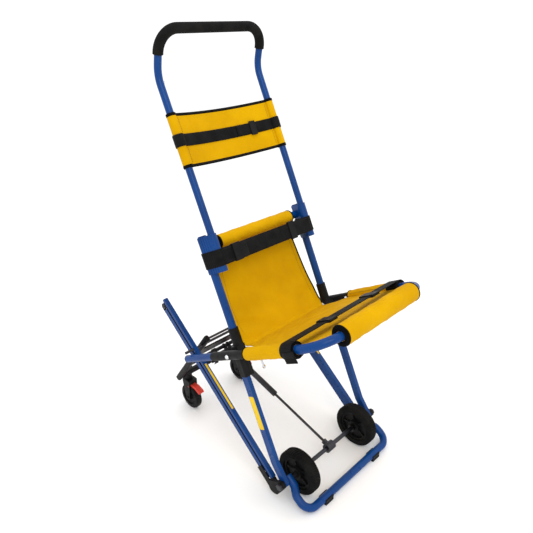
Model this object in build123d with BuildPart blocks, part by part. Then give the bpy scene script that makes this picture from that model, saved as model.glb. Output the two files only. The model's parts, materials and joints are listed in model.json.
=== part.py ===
"""Folding evacuation stair chair: tube frame, sling seat, belt tracks, castor frame and gas strut."""
import os
from math import atan2, cos, degrees, hypot, radians, sin, tan

from build123d import *

os.makedirs("parts", exist_ok=True)

# ---------------------------------------------------------------- driving dimensions (mm, degrees)
AXLE_Y = -222.0            # main wheel axle, so that the chair's footprint is centred on the origin
WHEEL_R = 75.0             # main wheel radius, and so the axle height
WHEEL_X = 149.0            # centre plane of each main wheel
WHEEL_W = 38.0
FRAME_R = 12.5             # 25 mm frame tube
WALL = 1.6
HANDLE_R = 11.0            # 22 mm handle tube
FIT = 0.15                 # radial clearance between rigid pieces that are fitted together
RUN = 0.08                 # radial running clearance of a shaft in its hole
GAP = 0.6                  # air left between soft pieces and their neighbours

LEAN = 23.9                # backward lean of the main tubes from vertical
BACK_Y = 14.9              # main tube line, behind the axle at axle height
TUBE_X = 205.0
LEG_X = 216.0
SPLICE_U = 401.0           # where leg and tube meet, along the main tube line
BRACKET_U = (673.0, 787.0)
ROLL_U = 757.0             # back cross tube
HANDLE_X = 195.0
HANDLE_N = 35.0            # handle tube in front of the main tube
PIVOT_U = 429.0            # seat pivot, along the main tube line

SEAT_TILT = 27.0           # seat rails rise towards the front
RAIL_X = 244.0
SEAT_FRONT = 389.0         # front cross tube, from the pivot along the rail
SEAT_REAR = -247.0
SEAT_BEND = 85.0

TRACK_SLOPE = 42.0
TRACK_X = (209.0, 224.0)
TRACK_N = (-72.0, -35.0)   # depth of the track profile below the axle line
TRACK_T = (30.0, 706.0)
ROD_R = 4.5
ROD_T, ROD_N = 507.0, -40.5  # rod that joins the tracks and carries the castor frame

CASTOR_X = 126.0
CASTOR_Y = 582.0           # castor wheel centre, behind the axle
CASTOR_R = 50.0
STEM_Y = 590.0             # castor swivel axis

AXLE_Z = WHEEL_R
AXLE_R = 7.0
BOLT_R = 5.0


# ---------------------------------------------------------------- planes that the chair is drawn on
def on_back(x, u, n=0.0):
    """Point u up the main tube line and n in front of it."""
    lean = radians(LEAN)
    y = AXLE_Y + BACK_Y + u * sin(lean) - n * cos(lean)
    return Vector(x, y, AXLE_Z + u * cos(lean) + n * sin(lean))


def on_seat(x, s, h=0.0):
    """Point s forward of the seat pivot along the rails and h above them."""
    tilt = radians(SEAT_TILT)
    pivot = on_back(0, PIVOT_U)
    y = pivot.Y - s * cos(tilt) + h * sin(tilt)
    return Vector(x, y, pivot.Z + s * sin(tilt) + h * cos(tilt))


def on_track(x, t, n=0.0):
    """Point t up the track from the axle and n above the line through the axle."""
    slope = radians(TRACK_SLOPE)
    y = AXLE_Y + t * cos(slope) - n * sin(slope)
    return Vector(x, y, AXLE_Z + t * sin(slope) + n * cos(slope))


def behind_axle(x, y, z):
    return Vector(x, AXLE_Y + y, z)


BACK_UP = on_back(0, 1) - on_back(0, 0)
BACK_FRONT = on_back(0, 0, 1) - on_back(0, 0)
SEAT_FWD = on_seat(0, 1) - on_seat(0, 0)
SEAT_UP = on_seat(0, 0, 1) - on_seat(0, 0)
TRACK_UP = on_track(0, 1) - on_track(0, 0)
TRACK_TOP = on_track(0, 0, 1) - on_track(0, 0)
ACROSS = Vector(1, 0, 0)
TO_FRONT = Axis((0, 0, 0), BACK_FRONT)


def back_face(u, n):
    """Drawing plane over the back: local x across, local y up the tubes, normal to the front."""
    return Plane(on_back(0, u, n), x_dir=ACROSS, z_dir=BACK_FRONT)


def back_section(u):
    """Plane across the main tubes: local x across, local y to the front, drawn downwards."""
    return Plane(on_back(0, u), x_dir=ACROSS, z_dir=-BACK_UP)


def back_side(x):
    """Side view of the back: local x up the tubes, local y to the front."""
    return Plane(on_back(x, 0), x_dir=BACK_UP, z_dir=ACROSS)


def seat_face(h):
    """Drawing plane over the seat: local x to the left, local y forward, normal up."""
    return Plane(on_seat(0, 0, h), x_dir=-ACROSS, z_dir=SEAT_UP)


def seat_section(x, s):
    """Plane across a seat rail, normal forward along it."""
    return Plane(on_seat(x, s), x_dir=-ACROSS, z_dir=SEAT_FWD)


def seat_side(x):
    """Side view of the seat: local x forward, local y up, normal to -X."""
    return Plane(on_seat(x, 0), x_dir=SEAT_FWD, z_dir=-ACROSS)


def track_side(x):
    """Side view of the track: local x up the track, local y to its top face."""
    return Plane(on_track(x, 0), x_dir=TRACK_UP, z_dir=ACROSS)


def upright(x):
    """Side view of the whole chair: local x backwards, local y up, from the axle's floor point."""
    return Plane(behind_axle(x, 0, 0), x_dir=(0, 1, 0), z_dir=ACROSS)


def cross(x, point):
    """Plane at x whose normal is +X, centred on a point of the side view."""
    return Plane((x, point.Y, point.Z), x_dir=(0, 1, 0), z_dir=ACROSS)


def ring(outer, inner):
    Circle(outer)
    Circle(inner, mode=Mode.SUBTRACT)


def drill(point, radius, x_from, x_to):
    """Cut a hole along X through the part that is being built."""
    with BuildSketch(cross(x_from, point)) as hole:
        Circle(radius)
    extrude(hole.sketch, amount=x_to - x_from, mode=Mode.SUBTRACT)


def rims(builder, radius):
    """Round edges of the given radius."""
    circles = builder.edges().filter_by(GeomType.CIRCLE)
    return circles.filter_by(lambda edge: abs(edge.radius - radius) < 0.05)


def pair():
    """Add the mirror image on the other side of the chair."""
    mirror(about=Plane.YZ)


def save(part, name):
    part.part.label = name
    export_step(part.part, f"parts/{name}.step")


AXLE = behind_axle(0, 0, AXLE_Z)
PIVOT = on_back(0, PIVOT_U)
ROD = on_track(0, ROD_T, ROD_N)

# ---------------------------------------------------------------- main frame
with BuildPart() as main_tubes:
    with BuildSketch(Plane(on_back(TUBE_X, SPLICE_U), x_dir=ACROSS, z_dir=BACK_UP)):
        ring(FRAME_R, FRAME_R - WALL)
    extrude(amount=BRACKET_U[1] - SPLICE_U + 3)
    drill(PIVOT, BOLT_R + FIT, TUBE_X - 20, TUBE_X + 20)
    pair()
save(main_tubes, "main_tubes")

LEG_W, LEG_D = 14.0, 25.0
LEG_KNEE = 60.0            # the leg bends forward to the axle below this height
AXLE_ON_BACK = (-BACK_Y * sin(radians(LEAN)), BACK_Y * cos(radians(LEAN)))


def leg_outline(half):
    """Side outline of the leg, half wide each side of its centre line."""
    with Locations((LEG_KNEE, 0), AXLE_ON_BACK):
        Circle(half)
    make_hull()
    with Locations(((LEG_KNEE + SPLICE_U - 1) / 2, 0)):
        Rectangle(SPLICE_U - 1 - LEG_KNEE, 2 * half)


with BuildPart() as legs:
    with BuildSketch(back_side(LEG_X - LEG_W / 2)):
        leg_outline(LEG_D / 2)
    extrude(amount=LEG_W)
    with BuildSketch(back_side(LEG_X - LEG_W / 2 + 1.8)):
        with Locations(((LEG_KNEE + SPLICE_U) / 2 + 10, 0)):
            Rectangle(SPLICE_U - LEG_KNEE - 20, LEG_D - 3.6)
    extrude(amount=LEG_W - 3.6, mode=Mode.SUBTRACT)
    drill(AXLE, AXLE_R + FIT, LEG_X - 20, LEG_X + 20)
    pair()
save(legs, "legs")

SLEEVE_U = (349.0, 501.0)
SLEEVE_R = 15.8
with BuildPart() as tube_sleeves:
    with BuildSketch(Plane(on_back(TUBE_X, SLEEVE_U[0]), x_dir=ACROSS, z_dir=BACK_UP)):
        Circle(SLEEVE_R)
    extrude(amount=SLEEVE_U[1] - SLEEVE_U[0])
    with BuildSketch(Plane(on_back(TUBE_X + 3, SLEEVE_U[0]), x_dir=ACROSS, z_dir=BACK_UP)):
        RectangleRounded(36, 30, 6)
    extrude(amount=PIVOT_U + 18 - SLEEVE_U[0])
    with BuildSketch(Plane(on_back(TUBE_X, SPLICE_U - 2), x_dir=ACROSS, z_dir=BACK_UP)):
        Circle(FRAME_R + FIT)
    extrude(amount=200, mode=Mode.SUBTRACT)
    with BuildSketch(Plane(on_back(LEG_X, SLEEVE_U[0] - 1), x_dir=ACROSS, z_dir=BACK_UP)):
        Rectangle(LEG_W + 2 * FIT, LEG_D + 2 * FIT)
    extrude(amount=SPLICE_U - SLEEVE_U[0] + 1, mode=Mode.SUBTRACT)
    drill(PIVOT, BOLT_R + FIT, TUBE_X - 30, TUBE_X + 30)
    pair()
save(tube_sleeves, "tube_sleeves")

# Extruded clamp that joins main tube, handle tube and cross tube.
CLAMP_MAIN_R, CLAMP_HANDLE_R = 16.0, 14.5


def clamp_hull(grow):
    """Outline round both tubes, in the section plane of the back."""
    with BuildSketch(mode=Mode.PRIVATE) as outline:
        with Locations((TUBE_X, 0)):
            Circle(CLAMP_MAIN_R + grow)
        with Locations((HANDLE_X, HANDLE_N)):
            Circle(CLAMP_HANDLE_R + grow)
        make_hull()
    return outline.sketch


RIB_N = (-6.0, 2.0, 10.0, 18.0, 26.0, 34.0)
with BuildPart() as brackets:
    with BuildSketch(back_section(BRACKET_U[1])):
        add(clamp_hull(0))
        with Locations((TUBE_X, 0)):
            Circle(FRAME_R + FIT, mode=Mode.SUBTRACT)
        with Locations((HANDLE_X, HANDLE_N)):
            Circle(HANDLE_R + 0.35, mode=Mode.SUBTRACT)
        with Locations(*[(TUBE_X + CLAMP_MAIN_R - 0.3 * max(n, 0), n) for n in RIB_N]):
            Circle(1.2, mode=Mode.SUBTRACT)
    extrude(amount=BRACKET_U[1] - BRACKET_U[0])
    drill(on_back(0, ROLL_U), FRAME_R + FIT, TUBE_X - 40, TUBE_X - CLAMP_MAIN_R)
    pair()
save(brackets, "brackets")

CROSS_END = TUBE_X - CLAMP_MAIN_R - 0.1
with BuildPart() as back_cross_tube:
    with BuildSketch(cross(-CROSS_END, on_back(0, ROLL_U))):
        ring(FRAME_R, FRAME_R - WALL)
    extrude(amount=2 * CROSS_END)
save(back_cross_tube, "back_cross_tube")

LOOP_X = 194.5             # arms where they cross the axle, inside the legs
LOOP_WIDE_X = 212.0        # arms beyond their outward joggle, in line with the legs
LOOP_JOGGLE = (22.0, 50.0)  # start and end of the joggle, measured down the arm from the axle
LOOP_Y, LOOP_Z = -90.0, 15.5
LOOP_BEND = 36.0
LOOP_ARM = hypot(LOOP_Y, AXLE_Z - LOOP_Z)
LOOP_RISE = atan2(AXLE_Z - LOOP_Z, -LOOP_Y)
LOOP_PLANE = Plane(behind_axle(0, LOOP_Y, LOOP_Z), x_dir=ACROSS, z_dir=(0, -sin(LOOP_RISE), cos(LOOP_RISE)))
LOOP_TAIL = 12.0
with BuildPart() as floor_loop:
    with BuildLine(LOOP_PLANE) as loop_path:
        FilletPolyline(
            (-LOOP_X, LOOP_ARM + LOOP_TAIL), (-LOOP_X, LOOP_ARM - LOOP_JOGGLE[0]),
            (-LOOP_WIDE_X, LOOP_ARM - LOOP_JOGGLE[1]), (-LOOP_WIDE_X, 0),
            (LOOP_WIDE_X, 0), (LOOP_WIDE_X, LOOP_ARM - LOOP_JOGGLE[1]),
            (LOOP_X, LOOP_ARM - LOOP_JOGGLE[0]), (LOOP_X, LOOP_ARM + LOOP_TAIL),
            radius=LOOP_BEND,
        )
    with BuildSketch(Plane(loop_path.line @ 0, z_dir=loop_path.line % 0)):
        ring(FRAME_R, FRAME_R - WALL)
    sweep()
    drill(AXLE, AXLE_R + FIT, -LOOP_X - 20, LOOP_X + 20)
save(floor_loop, "floor_loop")

FOOT_X = 125.0
FOOT_W = 36.0
with BuildPart() as loop_feet:
    with BuildSketch(upright(FOOT_X - FOOT_W / 2)):
        with Locations((LOOP_Y, LOOP_Z)):
            Circle(LOOP_Z)
        with Locations((LOOP_Y, 4)):
            Rectangle(30, 8)
        with Locations((LOOP_Y, LOOP_Z)):
            Circle(FRAME_R + FIT, mode=Mode.SUBTRACT)
        with Locations((LOOP_Y, LOOP_Z + 14)):
            Rectangle(40, 18, mode=Mode.SUBTRACT)
    extrude(amount=FOOT_W)
    pair()
save(loop_feet, "loop_feet")

HOUSING_X = (225.2, 237.5)
AXLE_END = 241.0
with BuildPart() as axle:
    with BuildSketch(cross(-AXLE_END, AXLE)):
        Circle(AXLE_R)
    extrude(amount=2 * AXLE_END)
save(axle, "axle")

WHEEL_IN, WHEEL_OUT = WHEEL_X - WHEEL_W / 2, WHEEL_X + WHEEL_W / 2
LOOP_IN, LOOP_OUT = LOOP_X - FRAME_R, LOOP_X + FRAME_R
LEG_IN, LEG_OUT = LEG_X - LEG_W / 2, LEG_X + LEG_W / 2
SPACERS = [  # x from, x to, outer radius
    (WHEEL_IN - 12.0, WHEEL_IN - 0.4, 12.0),
    (WHEEL_OUT + 0.4, LOOP_IN - 0.2, 10.5),
    (LOOP_OUT + 0.1, LEG_IN - 0.1, 10.0),
    (LEG_OUT + 0.2, HOUSING_X[0] - 0.4, 10.0),
]
with BuildPart() as axle_spacers:
    for x_from, x_to, radius in SPACERS:
        with BuildSketch(cross(x_from, AXLE)):
            ring(radius, AXLE_R + FIT)
        extrude(amount=x_to - x_from)
    pair()
save(axle_spacers, "axle_spacers")

with BuildPart() as axle_nuts:
    with BuildSketch(cross(HOUSING_X[1] + 0.4, AXLE)):
        RegularPolygon(11, 6)
    extrude(amount=8)
    with BuildSketch(cross(HOUSING_X[1] + 0.4, AXLE)):
        Circle(AXLE_R + FIT)
    extrude(amount=AXLE_END - HOUSING_X[1], mode=Mode.SUBTRACT)
    fillet(axle_nuts.edges().group_by(Axis.X)[-1], 1.5)
    pair()
save(axle_nuts, "axle_nuts")

RAIL_IN, RAIL_OUT = RAIL_X - FRAME_R, RAIL_X + FRAME_R
COVER_R = 14.2
BOLT_HEAD_R = 7.0
BOLT_IN = TUBE_X - SLEEVE_R - 0.3
BOLT_OUT = RAIL_X + COVER_R + 0.3
SPACER_X = (TUBE_X + 21.3, RAIL_X - COVER_R - 0.4)
with BuildPart() as seat_pivot_bolts:
    with BuildSketch(cross(BOLT_IN, PIVOT)):
        Circle(BOLT_R)
    extrude(amount=BOLT_OUT - BOLT_IN)
    with BuildSketch(cross(BOLT_OUT, PIVOT)):
        Circle(BOLT_HEAD_R)
    extrude(amount=3.2, taper=25)
    with BuildSketch(cross(BOLT_IN - 4, PIVOT)):
        Circle(BOLT_HEAD_R)
    extrude(amount=4)
    with BuildSketch(cross(SPACER_X[0], PIVOT)):
        Circle(9)
    extrude(amount=SPACER_X[1] - SPACER_X[0])
    pair()
save(seat_pivot_bolts, "seat_pivot_bolts")

# ---------------------------------------------------------------- fabric and straps of the back
ROLL_R = 23.0
ROLL_HALF = 158.0
with BuildPart() as back_roll:
    with BuildSketch(cross(-ROLL_HALF, on_back(0, ROLL_U))):
        ring(ROLL_R, FRAME_R + 0.3)
    extrude(amount=2 * ROLL_HALF)
save(back_roll, "back_roll")

SLING_T = 2.6
SLING_LINE = [  # u and n of the hanging cloth, from its lower edge to the back of the roll
    (441.0, -4.0), (490.0, -18.0), (550.0, -29.0), (620.0, -31.5), (690.0, -29.5), (752.0, -25.2),
]
SLING_HALF = [(441.0, 184.0), (500.0, 186.0), (560.0, 182.5), (640.0, 175.0), (752.0, 161.0)]


def outline_from(half_widths):
    """Closed symmetric outline from (height, half width) pairs."""
    right = [(half, height) for height, half in half_widths]
    left = [(-x, y) for x, y in reversed(right)]
    with BuildLine() as outline:
        Polyline(*right, *left, close=True)
    make_face(outline.edges())


with BuildPart() as back_sling:
    with BuildSketch(back_side(-TUBE_X)):
        with BuildLine() as sling_line:
            Spline(*SLING_LINE)
        trace(sling_line.line, SLING_T)
    extrude(amount=2 * TUBE_X)
    with BuildSketch(back_face(0, -60)):
        outline_from(SLING_HALF)
    extrude(amount=80, mode=Mode.INTERSECT)
save(back_sling, "back_sling")

CHEST_U = (690.0, 740.0)
STRAP_T = 2.4
STRAP_N = HANDLE_N + CLAMP_HANDLE_R + GAP      # back face of the chest strap's span
BUCKLE_X = (-152.0, -98.0)
BUCKLE_SPLIT = -122.0
BUCKLE_T = 11.0
ADJUSTER_X = (92.0, 118.0)
CHEST_H = CHEST_U[1] - CHEST_U[0]
with BuildPart() as chest_strap:
    with BuildSketch(back_section(CHEST_U[1])) as strap_outline:
        add(clamp_hull(GAP + STRAP_T))
        add(clamp_hull(GAP), mode=Mode.SUBTRACT)
        mirror(about=Plane.YZ)
        with Locations((0, STRAP_N + STRAP_T / 2)):
            Rectangle(2 * HANDLE_X, STRAP_T)
        with Locations(((BUCKLE_X[0] + BUCKLE_X[1]) / 2, STRAP_N)):
            Rectangle(BUCKLE_X[1] - BUCKLE_X[0] + 2 * FIT, 12, mode=Mode.SUBTRACT)
    extrude(amount=CHEST_H)
save(chest_strap, "chest_strap")

with BuildPart() as chest_buckle:
    with BuildSketch(back_face(sum(CHEST_U) / 2, STRAP_N - 3)):
        with Locations(((BUCKLE_X[0] + BUCKLE_SPLIT) / 2, 0)):
            RectangleRounded(BUCKLE_SPLIT - BUCKLE_X[0] - 0.3, CHEST_H + 4, 3)
    extrude(amount=BUCKLE_T)
    fillet(chest_buckle.faces().sort_by(TO_FRONT)[-1].edges(), 1.5)
save(chest_buckle, "chest_buckle")

with BuildPart() as chest_tongue:
    with BuildSketch(back_face(sum(CHEST_U) / 2, STRAP_N - 2)):
        with Locations(((BUCKLE_X[1] + BUCKLE_SPLIT) / 2, 0)):
            RectangleRounded(BUCKLE_X[1] - BUCKLE_SPLIT - 0.3, CHEST_H, 2)
    extrude(amount=BUCKLE_T - 2)
    fillet(chest_tongue.faces().sort_by(TO_FRONT)[-1].edges(), 1.2)
save(chest_tongue, "chest_tongue")


with BuildPart() as chest_adjuster:
    with BuildSketch(Plane(on_back(ADJUSTER_X[0], sum(CHEST_U) / 2, STRAP_N + STRAP_T / 2),
                           x_dir=BACK_UP, z_dir=ACROSS)):
        RectangleRounded(CHEST_H + 9, 8, 2.8)
        Rectangle(CHEST_H + 0.6, STRAP_T + 0.6, mode=Mode.SUBTRACT)
    extrude(amount=ADJUSTER_X[1] - ADJUSTER_X[0])
save(chest_adjuster, "chest_adjuster")

# ---------------------------------------------------------------- telescopic handle
HANDLE_FOOT = 745.0        # lower end of the handle tubes, inside the clamp
BEND_U = 1255.7            # where the handle turns more upright
BEND_R = 90.0
BEND_TURN = LEAN + 12.6
GRIP_H = 124.0             # from the turn to the top bar
GRIP_R = 15.0
CORNER_R = 62.0
GRIP_FROM = 57.0
BEND_CUT = BEND_R * tan(radians(BEND_TURN / 2))
TOP_DIR = BACK_UP * cos(radians(BEND_TURN)) + BACK_FRONT * sin(radians(BEND_TURN))
TOP_PLANE = Plane(on_back(0, BEND_U, HANDLE_N), x_dir=ACROSS, z_dir=ACROSS.cross(TOP_DIR))

with BuildPart() as handle_tube:
    with BuildLine(back_side(HANDLE_X)) as upright_line:
        straight = Line((HANDLE_FOOT, HANDLE_N), (BEND_U - BEND_CUT, HANDLE_N))
        JernArc(straight @ 1, straight % 1, BEND_R, BEND_TURN)
    with BuildLine(TOP_PLANE) as top_line:
        rise = Line((HANDLE_X, BEND_CUT), (HANDLE_X, GRIP_H - CORNER_R))
        corner = JernArc(rise @ 1, rise % 1, CORNER_R, 90)
        Line(corner @ 1, (0, GRIP_H))
    handle_path = Wire(upright_line.edges() + top_line.edges())
    with BuildSketch(Plane(on_back(HANDLE_X, HANDLE_FOOT, HANDLE_N), x_dir=ACROSS, z_dir=BACK_UP)):
        ring(HANDLE_R, HANDLE_R - 1.5)
    sweep(path=handle_path)
    pair()
    drill(on_back(0, BEND_U - 20, HANDLE_N), 5.2, -HANDLE_X, -HANDLE_X + 20)
save(handle_tube, "handle_tube")

with BuildPart() as handle_grip:
    with BuildLine(TOP_PLANE) as grip_line:
        rise = Line((HANDLE_X, GRIP_FROM), (HANDLE_X, GRIP_H - CORNER_R))
        corner = JernArc(rise @ 1, rise % 1, CORNER_R, 90)
        Line(corner @ 1, (0, GRIP_H))
    with BuildSketch(Plane(grip_line.line @ 0, z_dir=grip_line.line % 0)):
        ring(GRIP_R, HANDLE_R + FIT)
    sweep(path=grip_line.wires()[0])
    pair()
save(handle_grip, "handle_grip")

with BuildPart() as handle_button:
    with BuildSketch(cross(-HANDLE_X + 7, on_back(0, BEND_U - 20, HANDLE_N))):
        Circle(4.8)
    extrude(amount=9)
    fillet(handle_button.edges().group_by(Axis.X)[-1], 1.5)
save(handle_button, "handle_button")

REST_U = (986.0, 1146.0)
REST_SAG = 24.0            # how far the head panel curves back in its middle
REST_T = 3.0
HEM_R = 14.2


def head_arc(offset):
    """Curved centre line of the head panel in the section plane, offset to the front."""
    end = HANDLE_X - HANDLE_R
    ThreePointArc(
        (-end, HANDLE_N + offset), (0, HANDLE_N - REST_SAG + offset), (end, HANDLE_N + offset)
    )


with BuildPart() as headrest_sling:
    with BuildSketch(back_section(REST_U[1])):
        with BuildLine() as panel_line:
            head_arc(0)
        trace(panel_line.line, REST_T)
        with Locations((HANDLE_X, HANDLE_N), (-HANDLE_X, HANDLE_N)):
            Circle(HEM_R)
        with Locations((HANDLE_X, HANDLE_N), (-HANDLE_X, HANDLE_N)):
            Circle(HANDLE_R + 0.3, mode=Mode.SUBTRACT)
    extrude(amount=REST_U[1] - REST_U[0])
save(headrest_sling, "headrest_sling")

HEAD_STRAP_U = (1048.0, 1084.0)
KEEPER_X = 104.0
with BuildPart() as head_strap:
    with BuildSketch(back_section(HEAD_STRAP_U[1])):
        with BuildLine() as strap_line:
            head_arc(REST_T / 2 + GAP + 1.1)
        trace(strap_line.line, 2.2)
        with Locations((HANDLE_X, HANDLE_N), (-HANDLE_X, HANDLE_N)):
            Circle(HEM_R + GAP + 2.2)
        with Locations((HANDLE_X, HANDLE_N), (-HANDLE_X, HANDLE_N)):
            Circle(HEM_R + GAP, mode=Mode.SUBTRACT)
        with BuildLine() as panel_line:
            head_arc(0)
        trace(panel_line.line, REST_T + 2 * GAP, mode=Mode.SUBTRACT)
    extrude(amount=HEAD_STRAP_U[1] - HEAD_STRAP_U[0])
save(head_strap, "head_strap")

HEAD_R = ((HANDLE_X - HANDLE_R) ** 2 + REST_SAG ** 2) / (2 * REST_SAG)
KEEPER_TURN = degrees(atan2(KEEPER_X, HEAD_R))
KEEPER_N = HANDLE_N - REST_SAG + HEAD_R - (HEAD_R ** 2 - KEEPER_X ** 2) ** 0.5
with BuildPart() as head_strap_keeper:
    with BuildSketch(back_section(HEAD_STRAP_U[1] + 4)):
        with Locations(Location((KEEPER_X, KEEPER_N + REST_T / 2 + GAP + 4.8, 0), KEEPER_TURN)):
            RectangleRounded(22, 4.5, 1.5)
    extrude(amount=HEAD_STRAP_U[1] - HEAD_STRAP_U[0] + 8)
save(head_strap_keeper, "head_strap_keeper")

# ---------------------------------------------------------------- seat frame and its fabric
with BuildPart() as seat_tube:
    with BuildLine(seat_face(0)) as seat_path:
        FilletPolyline(
            (-RAIL_X, SEAT_REAR), (-RAIL_X, SEAT_FRONT), (RAIL_X, SEAT_FRONT), (RAIL_X, SEAT_REAR),
            radius=SEAT_BEND,
        )
    with BuildSketch(Plane(seat_path.line @ 0, z_dir=seat_path.line % 0)):
        ring(FRAME_R, FRAME_R - WALL)
    sweep()
    drill(PIVOT, BOLT_R + RUN, -RAIL_X - 20, RAIL_X + 20)
save(seat_tube, "seat_tube")

with BuildPart() as seat_plugs:
    with BuildSketch(seat_section(RAIL_X, SEAT_REAR - 3)):
        Circle(FRAME_R)
    extrude(amount=2.9)
    with BuildSketch(seat_section(RAIL_X, SEAT_REAR - 0.5)):
        Circle(FRAME_R - WALL - FIT)
    extrude(amount=14)
    pair()
save(seat_plugs, "seat_plugs")

COVER_S = (-91.0, 82.0)
with BuildPart() as rail_covers:
    with BuildSketch(seat_section(RAIL_X, COVER_S[0])):
        ring(COVER_R, FRAME_R + FIT)
    extrude(amount=COVER_S[1] - COVER_S[0])
    drill(PIVOT, BOLT_R + RUN, RAIL_X - 20, RAIL_X + 20)
    pair()
save(rail_covers, "rail_covers")

SIDE_S = (83.0, 300.0)
SIDE_R = 20.5
with BuildPart() as side_sleeves:
    with BuildSketch(seat_section(RAIL_X, SIDE_S[0])):
        ring(SIDE_R, FRAME_R + 0.3)
    extrude(amount=SIDE_S[1] - SIDE_S[0])
    pair()
save(side_sleeves, "side_sleeves")

SCREW_S = 74.0             # bright screw on the inside of each cover
with BuildPart() as cover_screws:
    with BuildSketch(cross(RAIL_X - COVER_R - 2.6, on_seat(0, SCREW_S))):
        Circle(5.5)
    extrude(amount=2.5)
    pair()
save(cover_screws, "cover_screws")

FRONT_ROLL_X = (-172.0, 160.0)
FRONT_ROLL_R = 30.0
with BuildPart() as front_roll:
    with BuildSketch(cross(FRONT_ROLL_X[0], on_seat(0, SEAT_FRONT))):
        ring(FRONT_ROLL_R, FRAME_R + 1.6)
    extrude(amount=FRONT_ROLL_X[1] - FRONT_ROLL_X[0])
save(front_roll, "front_roll")

PANEL_HALF = [(15.0, 176.0), (62.0, 187.0), (88.0, 219.0), (296.0, 219.0), (330.0, 172.0), (357.0, 160.0)]
PANEL_T = 3.0
with BuildPart() as seat_panel:
    with BuildSketch(seat_face(-PANEL_T / 2)):
        outline_from(PANEL_HALF)
    extrude(amount=PANEL_T)
save(seat_panel, "seat_panel")

LAP_W = 45.0
LAP_S = (275.0, 276.0)     # centre of the lap strap on the left and on the right rail
LAP_H = SIDE_R + GAP
LAP_TURN = degrees(atan2(LAP_S[1] - LAP_S[0], 2 * RAIL_X))
TAIL_H = 28.0
TAIL_AHEAD = 8.0
with BuildPart() as lap_strap:
    for side, s in zip((-1, 1), LAP_S):
        with BuildSketch(seat_section(side * RAIL_X, s - LAP_W / 2)):
            ring(LAP_H + STRAP_T, LAP_H)
        extrude(amount=LAP_W)
    with BuildSketch(seat_face(LAP_H)):
        with Locations(Location((0, sum(LAP_S) / 2, 0), -LAP_TURN)):
            Rectangle(2 * RAIL_X - 6, LAP_W - 1)
    extrude(amount=STRAP_T)
    with BuildSketch(seat_face(-TAIL_H)):
        with Locations((RAIL_X + LAP_H + STRAP_T / 2, LAP_S[0] + TAIL_AHEAD)):
            Rectangle(STRAP_T, LAP_W - 1)
    extrude(amount=TAIL_H + 4)
save(lap_strap, "lap_strap")

LAP_SLIDERS_X = (-88.0, 112.0)
with BuildPart() as lap_buckles:
    for x in LAP_SLIDERS_X:
        s = LAP_S[0] + (x + RAIL_X) / (2 * RAIL_X) * (LAP_S[1] - LAP_S[0])
        with BuildSketch(Plane(on_seat(x - 16, s, LAP_H + STRAP_T / 2), x_dir=SEAT_FWD, z_dir=ACROSS)):
            RectangleRounded(LAP_W + 10, 9, 3)
            Rectangle(LAP_W + 3.6, STRAP_T + 0.6, mode=Mode.SUBTRACT)
        extrude(amount=32)
save(lap_buckles, "lap_buckles")

CLIP_S = 138.0
with BuildPart() as seat_clip:
    with BuildSketch(seat_side(-RAIL_X + 2)):
        with Locations((CLIP_S, -SIDE_R - 7.7)):
            Rectangle(5, 15)
        with Locations((CLIP_S, -SIDE_R - 20)):
            Circle(6)
        with Locations((CLIP_S, -SIDE_R - 21)):
            Circle(3, mode=Mode.SUBTRACT)
    extrude(amount=4)
save(seat_clip, "seat_clip")

# ---------------------------------------------------------------- belt tracks
TRACK_W = TRACK_X[1] - TRACK_X[0]
WEB = 3.0
UPPER_D = 11.0             # box under the top face
GROOVE = 10.0
PULLEY_T = (46.0, 690.0)   # lower and upper belt pulley
PULLEY_R = 9.0
LOWER_FACE = TRACK_N[0] + 2.0
GROOVE_N = (TRACK_N[1] - UPPER_D - GROOVE, TRACK_N[1] - UPPER_D)
PULLEY_N = (LOWER_FACE + GROOVE_N[0]) / 2
BELT_T = 2.2
BELT_R = PULLEY_R + BELT_T
BELT_X = (TRACK_X[0] + WEB + 1.2, TRACK_X[1] - 1.0)
PIN_R = 2.5


def slot_shape(t_from, t_to, n, radius):
    """Long round-ended outline along the track."""
    with Locations(((t_from + t_to) / 2, n)):
        SlotCenterToCenter(t_to - t_from, 2 * radius)


with BuildPart() as track_rails:
    with BuildSketch(track_side(TRACK_X[0])):
        with Locations(((TRACK_T[0] + TRACK_T[1]) / 2, (TRACK_N[1] + GROOVE_N[1]) / 2)):
            Rectangle(TRACK_T[1] - TRACK_T[0], UPPER_D)
    extrude(amount=TRACK_W)
    with BuildSketch(track_side(TRACK_X[0])):
        with Locations(((TRACK_T[0] + TRACK_T[1]) / 2, (TRACK_N[1] + LOWER_FACE) / 2)):
            Rectangle(TRACK_T[1] - TRACK_T[0], TRACK_N[1] - LOWER_FACE)
    extrude(amount=WEB)
    with BuildSketch(track_side(TRACK_X[0])):
        t_from, t_to = PULLEY_T[0] + BELT_R + 2, PULLEY_T[1] - BELT_R - 2
        with Locations(((t_from + t_to) / 2, PULLEY_N)):
            Rectangle(t_to - t_from, 2 * PULLEY_R - 1.0)
    extrude(amount=TRACK_W)
    for t in PULLEY_T:
        drill(on_track(0, t, PULLEY_N), PIN_R + RUN, TRACK_X[0] - 5, TRACK_X[1] + 5)
    drill(ROD, ROD_R + FIT, TRACK_X[0] - 5, TRACK_X[1] + 5)
    pair()
save(track_rails, "track_rails")

with BuildPart() as track_belts:
    with BuildSketch(track_side(BELT_X[0])):
        slot_shape(*PULLEY_T, PULLEY_N, BELT_R)
        with Locations(((PULLEY_T[0] + PULLEY_T[1]) / 2, PULLEY_N)):
            SlotCenterToCenter(PULLEY_T[1] - PULLEY_T[0], 2 * PULLEY_R + 0.2, mode=Mode.SUBTRACT)
    extrude(amount=BELT_X[1] - BELT_X[0])
    pair()
save(track_belts, "track_belts")


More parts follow.
